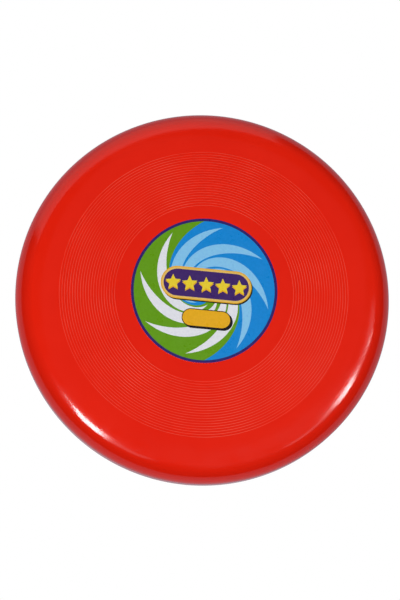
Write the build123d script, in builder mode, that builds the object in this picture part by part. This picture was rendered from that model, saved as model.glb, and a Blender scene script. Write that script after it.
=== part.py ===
from build123d import *

import os
from math import cos, radians, sin, tan

# A nine inch toy flying disc: a one-piece moulded shell with a round label stuck on top.
# Units are millimetres. +Z is up and the origin is on the ground, under the centre of the disc as it
# lies on its rim. +Y is the top of the label's print.

# Shell
disc_radius = 115.0
disc_height = 25.0  # ground to the flight plate's top face
skin = 2.0  # wall thickness, the same all over so that the shell cools evenly in its mould
crown_radius, crown_angle = 60.0, 11.5  # gentle fall from the flat plate towards the shoulder
shoulder_radius = 13.5
draft = 1.0  # degrees that the rim's wall leans, so that it leaves the mould

# Rolled lip along the bottom of the rim
lip_width, lip_height, lip_round = 4.2, 5.0, 1.5
lip_blend = 0.6  # fillet between the lip's inner bead and the wall

# Flight rings: fine beads that stand out of the plate and grip the air
ring_count = 22
ring_pitch = 1.59
ring_outermost = 87.7
ring_bead_radius, ring_proud = 0.50, 0.05

# Marks that the mould leaves under the plate
gate_well_radius, gate_well_depth = 7.0, 0.5
gate_nub_radius, gate_nub_length = 1.5, 0.9
ejector_count, ejector_circle, ejector_radius, ejector_depth = 8, 74.0, 4.0, 0.15

# Label
label_radius = 44.5
film_thickness, adhesive_thickness = 0.10, 0.03
label_shift = 1.5  # a label put on by hand sits a little off centre, towards +Y

# The shell's outer face, from the axis out over the shoulder and down to the middle of the lip
lip_middle = lip_height / 2
crown_drop = crown_radius * (1 - cos(radians(crown_angle)))
shoulder_drop = shoulder_radius * (cos(radians(crown_angle)) - sin(radians(draft)))
wall_top = disc_height - crown_drop - shoulder_drop
wall_top_radius = disc_radius - (wall_top - lip_middle) * tan(radians(draft))
shoulder_width = shoulder_radius * (cos(radians(draft)) - sin(radians(crown_angle)))
crown_width = crown_radius * sin(radians(crown_angle))
plate_radius = wall_top_radius - shoulder_width - crown_width
plate_underside = disc_height - skin
shoulder_turn = 90 - draft - crown_angle
ring_middle = ring_outermost - ring_pitch * (ring_count - 1) / 2

with BuildPart() as disc:
    with BuildSketch(Plane.XZ) as section:
        with BuildLine():
            plate = Line((0, disc_height), (plate_radius, disc_height))
            crown = JernArc(plate @ 1, plate % 1, crown_radius, -crown_angle)
            shoulder = JernArc(crown @ 1, crown % 1, shoulder_radius, -shoulder_turn)
            Line(shoulder @ 1, (disc_radius, lip_middle))
            offset(amount=skin, side=Side.RIGHT)
        make_face()
        with Locations((ring_middle, disc_height + ring_proud - ring_bead_radius)):
            with GridLocations(ring_pitch, 0, ring_count, 1):
                Circle(ring_bead_radius)
        with Locations((disc_radius - lip_width / 2, lip_middle)):
            RectangleRounded(lip_width, lip_height, lip_round)
        lip_corner = section.vertices().sort_by_distance((disc_radius - skin, lip_height))[0]
        fillet(lip_corner, lip_blend)
    revolve(axis=Axis.Z)

    with BuildSketch(Plane.XY.offset(plate_underside)):
        Circle(gate_well_radius)
    extrude(amount=gate_well_depth, mode=Mode.SUBTRACT)
    with BuildSketch(Plane.XY.offset(plate_underside + gate_well_depth)):
        Circle(gate_nub_radius)
    extrude(amount=-gate_nub_length)
    with BuildSketch(Plane.XY.offset(plate_underside)):
        with PolarLocations(ejector_circle, ejector_count):
            Circle(ejector_radius)
    extrude(amount=ejector_depth, mode=Mode.SUBTRACT)
disc.part.label = "disc"


def label_layer(bottom, thickness):
    """One full round layer of the label, from its bottom face up."""
    with BuildPart() as layer:
        with BuildSketch(Plane.XY.offset(bottom)):
            with Locations((0, label_shift)):
                Circle(label_radius)
        extrude(amount=thickness)
    return layer.part


label_adhesive = label_layer(disc_height, adhesive_thickness)
label_adhesive.label = "label_adhesive"
label_film = label_layer(disc_height + adhesive_thickness, film_thickness)
label_film.label = "label_film"

os.makedirs("parts", exist_ok=True)
for piece in (disc.part, label_adhesive, label_film):
    export_step(piece, f"parts/{piece.label}.step")
    size = piece.bounding_box().size
    print(f"{piece.label}: {size.X:.2f} x {size.Y:.2f} x {size.Z:.2f} mm, {piece.volume / 1000:.2f} cm3")
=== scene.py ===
from math import cos, degrees, log, pi, radians, sin, tan

import bmesh
import bpy
from mathutils import Matrix, Vector
from mathutils.geometry import delaunay_2d_cdt


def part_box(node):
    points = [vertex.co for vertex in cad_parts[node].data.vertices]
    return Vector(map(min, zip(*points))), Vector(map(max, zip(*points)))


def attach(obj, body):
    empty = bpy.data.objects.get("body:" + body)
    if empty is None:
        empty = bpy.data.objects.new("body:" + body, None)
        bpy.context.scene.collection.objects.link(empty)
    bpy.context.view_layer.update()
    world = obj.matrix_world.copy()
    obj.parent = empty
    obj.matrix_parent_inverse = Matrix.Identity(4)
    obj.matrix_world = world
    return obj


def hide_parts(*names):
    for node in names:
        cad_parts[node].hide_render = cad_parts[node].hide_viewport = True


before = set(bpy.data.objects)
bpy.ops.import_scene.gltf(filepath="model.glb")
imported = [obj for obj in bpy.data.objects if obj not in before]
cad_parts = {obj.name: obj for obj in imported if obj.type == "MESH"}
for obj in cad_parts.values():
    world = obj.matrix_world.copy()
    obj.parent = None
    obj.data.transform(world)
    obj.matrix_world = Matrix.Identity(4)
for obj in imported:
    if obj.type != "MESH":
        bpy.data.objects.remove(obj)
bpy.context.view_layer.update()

# A red toy flying disc with a round printed label. Everything is in metres, in the frame of the CAD
# model: the ground is z = 0, the disc's axis is z, and +Y is the top of the label.
MM = 0.001

scene = bpy.context.scene
disc_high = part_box("disc")[1]
film_low, film_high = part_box("label_film")

# Disc, from the frame, apart from the rings' height
DISC_RADIUS = disc_high.x
PLATE_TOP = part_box("label_adhesive")[0].z
RING_PROUD = 0.05 * MM

# Disc, in the same terms as the CAD section
SKIN = 2.0 * MM
CROWN_RADIUS, CROWN_ANGLE = 60.0 * MM, 11.5
SHOULDER_RADIUS = 13.5 * MM
DRAFT = 1.0
LIP_WIDTH, LIP_HEIGHT, LIP_ROUND, LIP_BLEND = 4.2 * MM, 5.0 * MM, 1.5 * MM, 0.6 * MM
RING_COUNT, RING_PITCH, RING_OUTERMOST, RING_WIDTH = 22, 1.59 * MM, 87.7 * MM, 0.64 * MM
GATE_WELL_RADIUS, GATE_WELL_DEPTH = 7.0 * MM, 0.5 * MM
GATE_NUB_RADIUS, GATE_NUB_LENGTH = 1.5 * MM, 0.9 * MM
EJECTOR_COUNT, EJECTOR_CIRCLE, EJECTOR_RADIUS, EJECTOR_DEPTH = 8, 74.0 * MM, 4.0 * MM, 0.15 * MM

# Worked out from these: the wall, the arc of the shoulder and the edge of the flat plate
LIP_MIDDLE = LIP_HEIGHT / 2
LIP_INNER = DISC_RADIUS - LIP_WIDTH
CROWN_DROP = CROWN_RADIUS * (1 - cos(radians(CROWN_ANGLE)))
SHOULDER_DROP = SHOULDER_RADIUS * (cos(radians(CROWN_ANGLE)) - sin(radians(DRAFT)))
WALL_TOP = PLATE_TOP - CROWN_DROP - SHOULDER_DROP
WALL_TOP_RADIUS = DISC_RADIUS - (WALL_TOP - LIP_MIDDLE) * tan(radians(DRAFT))
SHOULDER_CENTRE = (WALL_TOP_RADIUS - SHOULDER_RADIUS * cos(radians(DRAFT)),
                   WALL_TOP - SHOULDER_RADIUS * sin(radians(DRAFT)))
CROWN_END = 90 - CROWN_ANGLE  # degrees, where the crown's arc meets the shoulder's
PLATE_RADIUS = (SHOULDER_CENTRE[0] + SHOULDER_RADIUS * cos(radians(CROWN_END))
                - CROWN_RADIUS * sin(radians(CROWN_ANGLE)))
CROWN_CENTRE = (PLATE_RADIUS, PLATE_TOP - CROWN_RADIUS)
UNDERSIDE = PLATE_TOP - SKIN

# Where the mesh is divided
PLATE_STEPS = (0, 20 * MM, 44 * MM, 53 * MM)  # radii on the plate inside the rings
RINGS_END = 90.0 * MM  # and outside them
WALL_FOOT = (DISC_RADIUS - 0.05 * MM, 5.4 * MM)  # radius and height of a step on the leaning wall
UNDERSIDE_RADIUS = 86.0 * MM  # radius on the underside, outside all its marks
TURNS, GATE_TURNS, EJECTOR_TURNS = 320, 64, 40  # steps around the disc, gate and pin marks

# Label
LABEL_RADIUS = (film_high.x - film_low.x) / 2
LABEL_CENTRE = (film_low + film_high) / 2


# ---- Mesh helpers ----

SHARP_ANGLE = radians(28)


def new_piece(name, bm, materials):
    """A mesh object made from bm, smooth apart from sharp corners, riding on the only body."""
    mesh = bpy.data.meshes.new(name)
    bmesh.ops.recalc_face_normals(bm, faces=bm.faces)
    bm.to_mesh(mesh)
    bm.free()
    for material in materials:
        mesh.materials.append(material)
    for polygon in mesh.polygons:
        polygon.use_smooth = True
    mesh.set_sharp_from_angle(angle=SHARP_ANGLE)
    piece = bpy.data.objects.new(name, mesh)
    scene.collection.objects.link(piece)
    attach(piece, "root")
    return piece


def circle(radius, count, centre=(0.0, 0.0)):
    """Points around a circle, the first one on its +X side."""
    steps = (2 * pi * i / count for i in range(count))
    return [(centre[0] + radius * cos(a), centre[1] + radius * sin(a)) for a in steps]


def arc(centre, radius, start, end, count):
    """Points along an arc of a section, without its first point. Angles are in degrees."""
    steps = (radians(start + (end - start) * i / count) for i in range(1, count + 1))
    return [(centre[0] + radius * cos(a), centre[1] + radius * sin(a)) for a in steps]


def turn(bm, section, count):
    """Turns a section of (radius, height) points about the disc's axis."""
    rings = []
    for radius, height in section:
        if radius < 1e-9:
            rings.append([bm.verts.new((0, 0, height))])
        else:
            rings.append([bm.verts.new((x, y, height)) for x, y in circle(radius, count)])
    for inner, outer in zip(rings, rings[1:]):
        for i in range(count):
            j = (i + 1) % count
            corners = [inner[i % len(inner)], outer[i % len(outer)],
                       outer[j % len(outer)], inner[j % len(inner)]]
            bm.faces.new(dict.fromkeys(corners))


# ---- Material helpers ----

MIX_AMOUNT, MIX_FIRST, MIX_SECOND, MIX_RESULT = 0, 6, 7, 2  # the colour sockets of a Mix node


def new_material(name, roughness):
    """A material with a Principled shader. Returns it with its node tree and shader."""
    material = bpy.data.materials.new(name)
    material.use_nodes = True
    shader = material.node_tree.nodes["Principled BSDF"]
    shader.inputs["Roughness"].default_value = roughness
    return material, material.node_tree, shader


def node(tree, kind, **values):
    """A node with its inputs and properties set by name."""
    made = tree.nodes.new(kind)
    for key, value in values.items():
        label = key.replace("_", " ").title()
        if label in made.inputs:
            made.inputs[label].default_value = value
        else:
            setattr(made, key, value)
    return made


def place(tree):
    """Where a point is on the object, in metres."""
    return node(tree, "ShaderNodeTexCoord").outputs["Object"]


def noise(tree, scale, detail=3.0):
    """Noise whose grain is about one over scale, in metres."""
    made = node(tree, "ShaderNodeTexNoise", scale=scale, detail=detail)
    tree.links.new(place(tree), made.inputs["Vector"])
    return made.outputs["Fac"]


def spread(tree, source, low, high, to_low, to_high):
    """Maps source from low..high to to_low..to_high, clamped."""
    made = node(tree, "ShaderNodeMapRange", from_min=low, from_max=high, to_min=to_low, to_max=to_high)
    tree.links.new(source, made.inputs["Value"])
    return made.outputs["Result"]


def feed(tree, value, socket):
    """Links value to a node's input, or sets it there where it is a number or a colour."""
    if isinstance(value, bpy.types.NodeSocket):
        tree.links.new(value, socket)
    elif isinstance(value, tuple):
        socket.default_value = (*value, 1)
    else:
        socket.default_value = value


def combine(tree, operation, first, second=0.0):
    """A math node over one or two values, each a socket or a number."""
    made = node(tree, "ShaderNodeMath", operation=operation)
    feed(tree, first, made.inputs[0])
    feed(tree, second, made.inputs[1])
    return made.outputs["Value"]


def blend_colours(tree, amount, first, second):
    """Mixes two colours, each a socket or a colour, by amount."""
    made = node(tree, "ShaderNodeMix", data_type="RGBA")
    feed(tree, amount, made.inputs[MIX_AMOUNT])
    feed(tree, first, made.inputs[MIX_FIRST])
    feed(tree, second, made.inputs[MIX_SECOND])
    return made.outputs[MIX_RESULT]


def relief(tree, shader, heights):
    """Bump from (height socket, depth in metres) pairs, one on top of the other."""
    normal = None
    for height, depth in heights:
        bump = node(tree, "ShaderNodeBump", strength=1.0, distance=depth)
        tree.links.new(height, bump.inputs["Height"])
        if normal:
            tree.links.new(normal, bump.inputs["Normal"])
        normal = bump.outputs["Normal"]
    tree.links.new(normal, shader.inputs["Normal"])


def from_srgb(red, green, blue):
    """A linear colour from sRGB values of 0 to 255."""
    values = (v / 255 for v in (red, green, blue))
    return tuple(v / 12.92 if v <= 0.04045 else ((v + 0.055) / 1.055) ** 2.4 for v in values)


# ---- Materials ----

def hairlines(tree, scale, width, share):
    """Sparse fine scratches: 1 on a scratch, 0 elsewhere."""
    cells = node(tree, "ShaderNodeTexVoronoi", scale=scale, feature="DISTANCE_TO_EDGE")
    bend = node(tree, "ShaderNodeTexNoise", scale=scale * 0.4, detail=2.0)
    tree.links.new(place(tree), bend.inputs["Vector"])
    shift = node(tree, "ShaderNodeVectorMath", operation="MULTIPLY_ADD")
    shift.inputs[1].default_value = (0.02, 0.02, 0.02)
    tree.links.new(bend.outputs["Color"], shift.inputs[0])
    tree.links.new(place(tree), shift.inputs[2])
    tree.links.new(shift.outputs["Vector"], cells.inputs["Vector"])
    line = spread(tree, cells.outputs["Distance"], 0, width * scale, 1, 0)
    where = spread(tree, noise(tree, scale * 0.8, 2.0), 1 - share, 1 - share + 0.05, 0, 1)
    return combine(tree, "MULTIPLY", line, where)


def from_axis(tree):
    """How far a point is from the disc's axis, in metres."""
    flat = node(tree, "ShaderNodeVectorMath", operation="MULTIPLY")
    flat.inputs[1].default_value = (1, 1, 0)
    tree.links.new(place(tree), flat.inputs[0])
    reach = node(tree, "ShaderNodeVectorMath", operation="LENGTH")
    tree.links.new(flat.outputs["Vector"], reach.inputs[0])
    return reach.outputs["Value"]


def ring_crests(tree):
    """1 on the crest of a flight ring and 0 elsewhere, then 1 in the rings' zone and 0 elsewhere."""
    radius = from_axis(tree)
    steps = combine(tree, "DIVIDE", combine(tree, "SUBTRACT", radius, RING_OUTERMOST), RING_PITCH)
    wave = combine(tree, "COSINE", combine(tree, "MULTIPLY", steps, 2 * pi))
    crest = spread(tree, wave, 0.72, 0.98, 0, 1)
    first = RING_OUTERMOST - RING_PITCH * (RING_COUNT - 0.5)
    last = RING_OUTERMOST + RING_PITCH / 2
    low = spread(tree, radius, first - 0.1 * MM, first, 0, 1)
    high = spread(tree, radius, last, last + 0.1 * MM, 1, 0)
    zone = combine(tree, "MULTIPLY", low, high)
    return combine(tree, "MULTIPLY", crest, zone), zone


# Painted shade: the red darkens by radius over the shoulder, where the light falls away, and most of
# that is lifted again down the wall.
SHOULDER_SHADE_RED = (0.790, 0.0130, 0.0030)  # of the shoulder
SHADE_DARKENS = (104 * MM, 110.5 * MM)  # radii between which the red deepens
SHADE_LIFTS = (112 * MM, 113.6 * MM)  # and between which most of that is lifted again, down the wall
# Wear and a painted highlight: the paler red along the ring crests.
CREST_WEAR_AND_HIGHLIGHT_RED = (0.980, 0.1100, 0.0700)


def disc_gloss():
    """Polished red polyethylene: uneven, with painted shade darkening the shoulder, paler along the
    ring crests from wear and a painted highlight.
    """
    material, tree, shader = new_material("disc_gloss", 0.14)
    crest, zone = ring_crests(tree)
    cloud = spread(tree, noise(tree, 22, 3.0), 0.3, 0.7, 0, 1)
    red = blend_colours(tree, cloud, (0.930, 0.0150, 0.0030), (0.960, 0.0180, 0.0042))
    # Painted shade on the shoulder, by radius.
    turning = spread(tree, from_axis(tree), *SHADE_DARKENS, 0, 1)
    upright = spread(tree, from_axis(tree), *SHADE_LIFTS, 1, 0.3)
    shoulder = combine(tree, "MULTIPLY", turning, upright)
    red = blend_colours(tree, shoulder, red, SHOULDER_SHADE_RED)
    # Wear and a painted highlight along the ring crests.
    rub = spread(tree, noise(tree, 35, 4.0), 0.35, 0.65, 0.35, 1.0)
    crest_wear_and_highlight = combine(tree, "MULTIPLY", crest, rub)
    red = blend_colours(tree, crest_wear_and_highlight, red, CREST_WEAR_AND_HIGHLIGHT_RED)
    tree.links.new(red, shader.inputs["Base Color"])
    scratches = hairlines(tree, 60, 0.00006, 0.42)
    tree.links.new(spread(tree, zone, 0, 1, 0.5, 0.30), shader.inputs["Specular IOR Level"])
    sheen = spread(tree, noise(tree, 90, 4.0), 0.3, 0.7, 0.10, 0.15)
    rough = combine(tree, "ADD", sheen, combine(tree, "MULTIPLY", scratches, 0.12))
    rough = combine(tree, "ADD", rough, combine(tree, "MULTIPLY", zone, 0.06))
    tree.links.new(rough, shader.inputs["Roughness"])
    ripple = noise(tree, 120, 2.0)
    grain = noise(tree, 1500, 2.0)
    relief(tree, shader, [(ripple, 0.00003), (grain, 0.000003), (scratches, -0.000006)])
    return material


def disc_satin():
    """The underside, from the mould's unpolished half."""
    material, tree, shader = new_material("disc_satin", 0.42)
    cloud = spread(tree, noise(tree, 26, 4.0), 0.3, 0.7, 0, 1)
    red = blend_colours(tree, cloud, (0.700, 0.0120, 0.0060), (0.760, 0.0170, 0.0080))
    tree.links.new(red, shader.inputs["Base Color"])
    sheen = spread(tree, noise(tree, 300, 4.0), 0.3, 0.7, 0.34, 0.50)
    tree.links.new(sheen, shader.inputs["Roughness"])
    relief(tree, shader, [(noise(tree, 60, 2.0), 0.00005), (noise(tree, 1800, 3.0), 0.00002)])
    return material


def ink(name, colour):
    """Printed ink under a gloss film, a little uneven in density."""
    material, tree, shader = new_material("ink_" + name, 0.30)
    paler = tuple(min(1.0, v * 1.06 + 0.004) for v in colour)
    density = spread(tree, noise(tree, 700, 3.0), 0.35, 0.65, 0, 1)
    tree.links.new(blend_colours(tree, density, colour, paler), shader.inputs["Base Color"])
    gloss = spread(tree, noise(tree, 160, 3.0), 0.3, 0.7, 0.25, 0.35)
    tree.links.new(gloss, shader.inputs["Roughness"])
    relief(tree, shader, [(noise(tree, 70, 2.0), 0.00002)])
    return material


def glue():
    """The label's adhesive, seen only as a hairline around its edge."""
    material, tree, shader = new_material("glue", 0.5)
    cloud = spread(tree, noise(tree, 400, 3.0), 0.3, 0.7, 0, 1)
    cream = blend_colours(tree, cloud, (0.62, 0.56, 0.44), (0.72, 0.68, 0.58))
    tree.links.new(cream, shader.inputs["Base Color"])
    relief(tree, shader, [(noise(tree, 900, 2.0), 0.00001)])
    return material


# ---- The disc ----

# Across a ring, whose crest ends at -1 and 1
RING_STEPS = (-1.3, -1, -0.65, -0.3, 0, 0.3, 0.65, 1, 1.3)


def ring_section():
    """The flight rings: low smooth crests, each with a flat of plate on both sides."""
    points = []
    for i in range(RING_COUNT):
        middle = RING_OUTERMOST - RING_PITCH * (RING_COUNT - 1 - i)
        for x in RING_STEPS:
            height = RING_PROUD * (1 + cos(pi * min(1, abs(x)))) / 2
            points.append((middle + x * RING_WIDTH / 2, PLATE_TOP + height))
    return points


def make_disc():
    """The moulded shell, as one closed mesh: gloss outside, satin inside."""
    lip_bend = LIP_HEIGHT - LIP_ROUND  # height at which the lip's upper corners start
    outer = [(radius, PLATE_TOP) for radius in PLATE_STEPS]
    outer += ring_section()
    outer += [(RINGS_END, PLATE_TOP), (PLATE_RADIUS, PLATE_TOP)]
    outer += arc(CROWN_CENTRE, CROWN_RADIUS, 90, CROWN_END, 8)
    outer += arc(SHOULDER_CENTRE, SHOULDER_RADIUS, CROWN_END, DRAFT, 26)
    outer += [WALL_FOOT, (DISC_RADIUS, lip_bend)]
    outer += [(DISC_RADIUS, LIP_MIDDLE), (DISC_RADIUS, LIP_ROUND)]
    outer += arc((DISC_RADIUS - LIP_ROUND, LIP_ROUND), LIP_ROUND, 0, -90, 6)
    outer += [(LIP_INNER + LIP_ROUND, 0)]
    outer += arc((LIP_INNER + LIP_ROUND, LIP_ROUND), LIP_ROUND, -90, -180, 6)
    outer += [(LIP_INNER, lip_bend)]

    inner = arc((LIP_INNER + LIP_ROUND, lip_bend), LIP_ROUND, 180, 98, 6)
    inner += arc((DISC_RADIUS - SKIN - LIP_BLEND, LIP_HEIGHT + LIP_BLEND), LIP_BLEND, -80, 0, 5)
    wall_inner_top = SHOULDER_CENTRE[0] + (SHOULDER_RADIUS - SKIN) * cos(radians(DRAFT))
    inner += [(wall_inner_top, SHOULDER_CENTRE[1])]
    inner += arc(SHOULDER_CENTRE, SHOULDER_RADIUS - SKIN, DRAFT, CROWN_END, 18)
    inner += arc(CROWN_CENTRE, CROWN_RADIUS - SKIN, CROWN_END, 90, 6)
    inner += [(UNDERSIDE_RADIUS, UNDERSIDE)]

    bm = bmesh.new()
    turn(bm, outer, TURNS)
    glossy = set(bm.faces)
    turn(bm, [outer[-1]] + inner, TURNS)
    make_underside(bm)
    for face in bm.faces:
        if face not in glossy:
            face.material_index = 1
    bmesh.ops.remove_doubles(bm, verts=bm.verts, dist=1e-6)
    disc = new_piece("disc_shell", bm, [disc_gloss(), disc_satin()])
    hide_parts("disc")


def make_underside(bm):
    """The flat underside, with the ejector pins' marks, the gate's well and its cut nub."""
    loops = [circle(UNDERSIDE_RADIUS, TURNS), circle(GATE_WELL_RADIUS, GATE_TURNS)]
    for i in range(EJECTOR_COUNT):
        around = 2 * pi * i / EJECTOR_COUNT
        middle = (EJECTOR_CIRCLE * cos(around), EJECTOR_CIRCLE * sin(around))
        loops.append(circle(EJECTOR_RADIUS, EJECTOR_TURNS, middle))
    points = [Vector(p) for loop in loops for p in loop]
    faces, start = [], 0
    for loop in loops:
        faces.append(list(range(start, start + len(loop))))
        start += len(loop)
    flat = delaunay_2d_cdt(points, [], faces, 1, 1e-7)
    corners = [bm.verts.new((p.x, p.y, UNDERSIDE)) for p in flat[0]]
    for triangle, inside in zip(flat[2], flat[5]):
        if max(inside) == 0:  # inside the outer loop, and outside the marks and the well
            bm.faces.new([corners[i] for i in triangle])
    for loop in loops[2:]:
        low = [bm.verts.new((x, y, UNDERSIDE)) for x, y in loop]
        high = [bm.verts.new((x, y, UNDERSIDE + EJECTOR_DEPTH)) for x, y in loop]
        for i in range(len(loop)):
            j = (i + 1) % len(loop)
            bm.faces.new((low[i], low[j], high[j], high[i]))
        bm.faces.new(high)
    well = UNDERSIDE + GATE_WELL_DEPTH
    nub = well - GATE_NUB_LENGTH
    gate = [(GATE_WELL_RADIUS, UNDERSIDE), (GATE_WELL_RADIUS - 0.1 * MM, well)]
    gate += [(GATE_NUB_RADIUS + 0.3 * MM, well), (GATE_NUB_RADIUS, well - 0.25 * MM)]
    gate += [(GATE_NUB_RADIUS, nub + 0.1 * MM), (GATE_NUB_RADIUS - 0.15 * MM, nub)]
    gate += [(0.5 * MM, nub + 0.06 * MM), (0, nub + 0.12 * MM)]
    turn(bm, gate, GATE_TURNS)


# ---- The label ----

INKS = {
    "border": from_srgb(46, 30, 112),
    "green": from_srgb(103, 163, 10),
    "white": from_srgb(241, 242, 252),
    "blue": from_srgb(5, 142, 226),
    "pale_blue": from_srgb(140, 208, 255),
    "purple": from_srgb(65, 34, 110),
    "gold": from_srgb(244, 200, 104),
    "yellow": from_srgb(248, 219, 52),
    "orange": from_srgb(244, 182, 24),
    "black": from_srgb(16, 14, 22),
}
INK_ORDER = list(INKS)
BORDER_WIDTH = 1.7 * MM
WHEEL_RADIUS = LABEL_RADIUS - BORDER_WIDTH
TWIST = 1.9  # how fast the wheel's spirals turn
WHEEL_START = -90  # degrees, where the edge between the wheel's halves meets its rim
BLADE_COUNT, BLADE_STEPS = 4, 40  # blades in each half, all alike, and steps along each
BLADE_TIP = 40.5 * MM  # radius of a blade's outer point
BLADE_REACH = 0.22  # radius of its inner point, as a share of that
BLADE_SPREAD = 19  # degrees, half of its width at its middle
BADGE, BADGE_SIZE = (1.2 * MM, 3.4 * MM), (52 * MM, 16.6 * MM)
BAR, BAR_SIZE = (1.2 * MM, -17.4 * MM), (29 * MM, 10.0 * MM)
TILT = -5  # degrees, of the badge and the bar
OUTER_LINE, INNER_LINE = 1.7 * MM, 1.1 * MM  # how far the badge's outlines stand out of it
BADGE_SHADOW = (0.6 * MM, -0.8 * MM)
BAR_LINE, BAR_DROP = 0.5 * MM, 1.1 * MM  # the bar's outline, and how far its shadow falls each way
STAR_RADIUS, STAR_SPACING, STAR_DROP = 4.9 * MM, 10.1 * MM, 0.9 * MM
STAR_NOTCH = 0.46  # radius between a star's points, as a share of its own
LABEL_TURNS, WHEEL_TURNS = 240, 180  # steps around the label and the wheel
HALF_STEPS, HALF_START = 30, 0.06  # steps along the edge between the halves, and where it starts
PILL_STEPS = 20  # around each of a pill's ends


def polar(radius, around):
    """The point at a radius and an angle in degrees."""
    return (radius * cos(radians(around)), radius * sin(radians(around)))


def spiral(radius, start):
    """The angle at which a spiral that starts at an angle on the wheel's rim passes a radius."""
    return start + TWIST * degrees(log(WHEEL_RADIUS / radius))


def blade(start):
    """A crescent that follows a spiral inwards, with a point at both ends."""
    ahead, behind = [], []
    for i in range(BLADE_STEPS + 1):
        radius = BLADE_TIP * BLADE_REACH ** (i / BLADE_STEPS)
        half = BLADE_SPREAD * sin(pi * i / BLADE_STEPS)
        ahead.append(polar(radius, spiral(radius, start) + half))
        behind.append(polar(radius, spiral(radius, start) - half))
    return ahead + behind[-2:0:-1]


def half_wheel(start):
    """Half of the wheel, cut along a spiral through the middle."""
    shares = (HALF_START + (1 - HALF_START) * i / HALF_STEPS for i in range(HALF_STEPS + 1))
    steps = [WHEEL_RADIUS * share for share in shares]
    there = [polar(radius, spiral(radius, start)) for radius in steps]
    edge = [polar(WHEEL_RADIUS, start + 2 * i) for i in range(1, 90)]
    back = [polar(radius, spiral(radius, start + 180)) for radius in reversed(steps)]
    return there + edge + back


def moved(points, centre, tilt=0.0):
    """Points turned about the origin by tilt degrees and moved to centre."""
    c, s = cos(radians(tilt)), sin(radians(tilt))
    return [(centre[0] + x * c - y * s, centre[1] + x * s + y * c) for x, y in points]


def pill(length, height, centre, grow):
    """A tilted bar with round ends, grown outwards all round."""
    reach, radius = length / 2 - height / 2, height / 2 + grow
    points = []
    for side, start in ((1, -90), (-1, 90)):
        for i in range(PILL_STEPS + 1):
            x, y = polar(radius, start + 180 * i / PILL_STEPS)
            points.append((side * reach + x, y))
    return moved(points, centre, TILT)


def star(radius, centre):
    """A five-pointed star."""
    reaches = (radius, radius * STAR_NOTCH) * 5
    return moved([polar(reach, 90 + 36 * i) for i, reach in enumerate(reaches)], centre)


def label_art():
    """The label's print: (ink, outline) pairs, each one over those before it."""
    art = [("border", circle(LABEL_RADIUS, LABEL_TURNS)), ("green", circle(WHEEL_RADIUS, WHEEL_TURNS))]
    art.append(("blue", half_wheel(WHEEL_START)))
    for half, paint in ((WHEEL_START + 180, "white"), (WHEEL_START + 360, "pale_blue")):
        for i in range(BLADE_COUNT):
            art.append((paint, blade(half + 180 / BLADE_COUNT * (i + 0.5))))
    shadow = moved([BADGE_SHADOW], BADGE)[0]
    art.append(("black", pill(*BADGE_SIZE, shadow, OUTER_LINE)))
    for grow, paint in ((OUTER_LINE, "orange"), (INNER_LINE, "gold"), (0, "purple")):
        art.append((paint, pill(*BADGE_SIZE, BADGE, grow)))
    for drop, paint in ((STAR_DROP, "orange"), (0, "yellow")):
        for middle in moved([(STAR_SPACING * i, 0) for i in range(-2, 3)], BADGE, TILT):
            art.append((paint, star(STAR_RADIUS, (middle[0], middle[1] - drop))))
    for drop, grow, paint in ((BAR_DROP, BAR_LINE, "black"), (0, BAR_LINE, "black"), (0, 0, "orange")):
        art.append((paint, pill(*BAR_SIZE, (BAR[0] + drop, BAR[1] - drop), grow)))
    return art


def make_label():
    """The printed film: one closed sheet whose top is divided along the edges of the inks."""
    art = label_art()
    points, faces = [], []
    for _, outline in art:
        faces.append(list(range(len(points), len(points) + len(outline))))
        points += [Vector(p) for p in outline]
    sheet = delaunay_2d_cdt(points, [], faces, 1, 1e-7)
    bm = bmesh.new()
    x, y = LABEL_CENTRE.x, LABEL_CENTRE.y
    corners = [bm.verts.new((x + p.x, y + p.y, film_high.z)) for p in sheet[0]]
    for triangle, inside in zip(sheet[2], sheet[5]):
        if inside:  # takes the ink of the last outline that it is in
            face = bm.faces.new([corners[i] for i in triangle])
            face.material_index = INK_ORDER.index(art[max(inside)][0])
    rim = circle(LABEL_RADIUS, LABEL_TURNS, (x, y))
    high = [bm.verts.new((*p, film_high.z)) for p in rim]
    low = [bm.verts.new((*p, film_low.z)) for p in rim]
    for i in range(len(rim)):
        j = (i + 1) % len(rim)
        face = bm.faces.new((low[i], low[j], high[j], high[i]))
        face.material_index = INK_ORDER.index("white")
    bm.faces.new(low).material_index = INK_ORDER.index("white")
    bmesh.ops.remove_doubles(bm, verts=bm.verts, dist=1e-7)
    label = new_piece("label_print", bm, [ink(name, INKS[name]) for name in INK_ORDER])
    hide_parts("label_film")


# ---- Studio ----

ROOM = (0.03, 0.03, 0.03)
FLOOR_GLOW = (0.42, 0.42, 0.48)  # the floor as its reflection shows it
FLOOR_STEPS, FLOOR_TURNS = (0, 1, 4), 64  # radii in metres, and steps around

# name: way round from +X in degrees, height above the horizon in degrees, distance, height that it aims
# at, width, height, roll in degrees, radiance as a share of paper white
LIGHTS = {
    "key_left": (-138.1, 56.0, 1.68, PLATE_TOP, 0.25, 0.62, 12, 26.0),
    "spill_left": (-121.0, 53.0, 1.68, PLATE_TOP, 0.44, 0.38, 0, 0.8),
    "key_right": (-16.7, 56.0, 1.67, PLATE_TOP, 0.16, 0.35, -16, 26.0),
    "spill_right": (-18.0, 58.0, 1.70, PLATE_TOP, 1.05, 0.24, 0, 1.0),
    "glint": (1.1, 52.0, 1.68, PLATE_TOP, 0.06, 0.25, 0, 10.0),
    "wall": (108.0, 33.5, 1.44, 0.795, 2.10, 1.59, 0, 0.60),
    "ceiling": (72.0, 80.0, 1.70, PLATE_TOP, 1.20, 1.20, 0, 0.07),
    "fill": (-58.0, 66.0, 1.90, PLATE_TOP, 1.10, 1.10, 0, 1.26),
}

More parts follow.
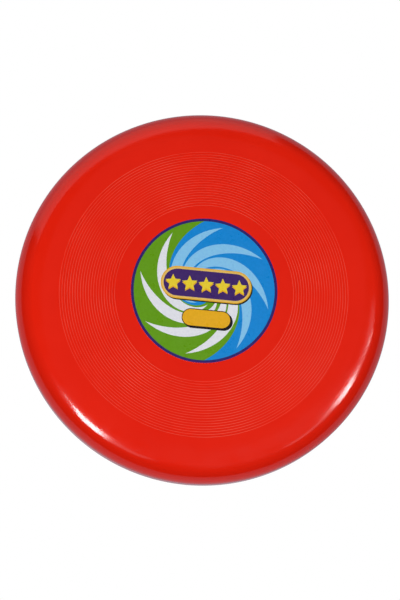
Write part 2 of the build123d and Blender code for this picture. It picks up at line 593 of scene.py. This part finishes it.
VIEW_DISTANCE = 1.07
VIEW_TILT = 10.4  # degrees off the disc's axis
VIEW_AROUND = -107.5  # the way that the camera leans, from +X
VIEW_HEIGHT = 0.3637  # what the picture's height shows at the plate
VIEW_SHIFT = (0.0026, 0.0044)  # the plate's centre, right of and above the picture's middle


def from_angles(around, up, distance):
    """A point at a distance from the origin, by compass angle and height angle in degrees."""
    flat = distance * cos(radians(up))
    height = distance * sin(radians(up))
    return Vector((flat * cos(radians(around)), flat * sin(radians(around)), height))


def make_light(name, around, up, distance, aim, width, height, roll, radiance):
    """A softbox whose front has the given radiance."""
    lamp = bpy.data.lights.new(name, "AREA")
    lamp.shape = "RECTANGLE"
    lamp.size, lamp.size_y = width, height
    lamp.energy = radiance * pi * width * height
    box = bpy.data.objects.new(name, lamp)
    scene.collection.objects.link(box)
    box.location = from_angles(around, up, distance)
    look = (Vector((0, 0, aim)) - box.location).to_track_quat("-Z", "Y")
    box.rotation_euler = (look.to_matrix() @ Matrix.Rotation(radians(roll), 3, "Z")).to_euler()
    box.visible_camera = False
    box.visible_glossy = name != "fill"  # the fill lights the disc without a highlight of its own


def seen_as_white(tree, surface):
    """Shows pure white to the camera, and surface to everything else."""
    white = node(tree, "ShaderNodeEmission", color=(1, 1, 1, 1))
    seen = tree.nodes.new("ShaderNodeLightPath")
    either = tree.nodes.new("ShaderNodeMixShader")
    tree.links.new(seen.outputs["Is Camera Ray"], either.inputs[0])
    tree.links.new(surface, either.inputs[1])
    tree.links.new(white.outputs[0], either.inputs[2])
    return either.outputs[0]


def make_floor():
    """A plain round floor under the disc, white to the camera as in a cut-out picture."""
    material = bpy.data.materials.new("pale_floor")
    material.use_nodes = True
    tree = material.node_tree
    tree.nodes.clear()
    glow = node(tree, "ShaderNodeEmission", color=(*FLOOR_GLOW, 1))
    output = tree.nodes.new("ShaderNodeOutputMaterial")
    tree.links.new(seen_as_white(tree, glow.outputs[0]), output.inputs["Surface"])
    bm = bmesh.new()
    turn(bm, [(radius, 0) for radius in FLOOR_STEPS], FLOOR_TURNS)
    bmesh.ops.recalc_face_normals(bm, faces=bm.faces)
    mesh = bpy.data.meshes.new("floor")
    bm.to_mesh(mesh)
    bm.free()
    mesh.materials.append(material)
    floor = bpy.data.objects.new("floor", mesh)
    scene.collection.objects.link(floor)


def make_world():
    """A dark room behind the lights, white to the camera."""
    scene.world = bpy.data.worlds.new("room")
    scene.world.use_nodes = True
    tree = scene.world.node_tree
    room = tree.nodes["Background"]
    room.inputs["Color"].default_value = (*ROOM, 1)
    tree.links.new(seen_as_white(tree, room.outputs[0]), tree.nodes["World Output"].inputs["Surface"])


def make_camera():
    """A camera nearly straight above the disc."""
    lens = bpy.data.cameras.new("camera")
    lens.sensor_fit = "VERTICAL"
    lens.sensor_height = 36.0
    lens.lens = lens.sensor_height * VIEW_DISTANCE / VIEW_HEIGHT
    camera = bpy.data.objects.new("camera", lens)
    scene.collection.objects.link(camera)
    scene.camera = camera
    back = from_angles(VIEW_AROUND, 90 - VIEW_TILT, 1.0)
    right = Vector((0, 1, 0)).cross(back).normalized()
    up = back.cross(right)
    facing = Matrix((right, up, back)).transposed().to_4x4()
    aim = Vector((0, 0, PLATE_TOP)) - right * VIEW_SHIFT[0] - up * VIEW_SHIFT[1]
    facing.translation = aim + back * VIEW_DISTANCE
    camera.matrix_world = facing


make_disc()
make_label()
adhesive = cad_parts["label_adhesive"]
adhesive.data.materials.clear()
adhesive.data.materials.append(glue())
make_floor()
make_world()
for name, values in LIGHTS.items():
    make_light(name, *values)
make_camera()
scene.view_settings.view_transform = "Standard"
scene.view_settings.look = "None"
